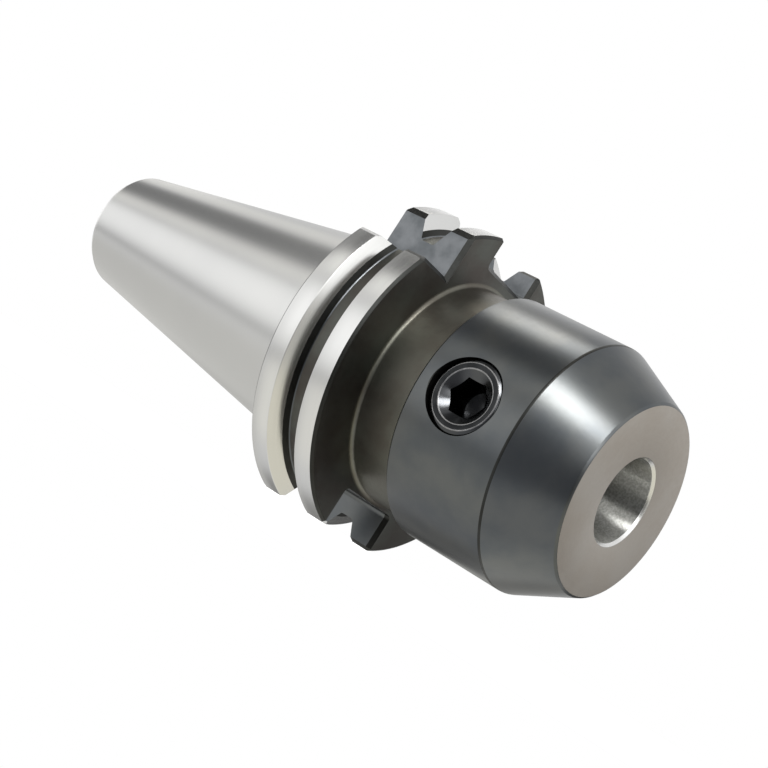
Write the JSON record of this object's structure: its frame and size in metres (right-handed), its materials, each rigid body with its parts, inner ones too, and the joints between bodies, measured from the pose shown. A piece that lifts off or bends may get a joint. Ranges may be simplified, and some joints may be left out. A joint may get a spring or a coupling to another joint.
{
  "type": "side lock end mill holder",
  "caption": "Steep taper tool holder with a gripper flange, drive slots and a short cylindrical nose, whose bore holds an end mill by a radial clamp screw.",
  "frame": {"origin": "centre of the gauge circle on the spindle axis", "axes": "+X along the spindle axis towards the nose, +Z through the shallower drive slot, -Y through the clamp screw"},
  "size_m": [0.1314, 0.0636, 0.061],
  "materials": {
    "holder_steel": "ground on the shank and rims, black oxide on the nose",
    "screw_steel": "black oxide"
  },
  "bodies": {
    "holder": {"holder_body": "holder_steel"},
    "screw": {"clamp_screw": "screw_steel"}
  },
  "joints": [
    {"name": "screw_travel", "type": "slide", "parent": "holder", "child": "screw", "axis": [0, -1, 0], "range_m": [-0.002, 0.004]}
  ]
}
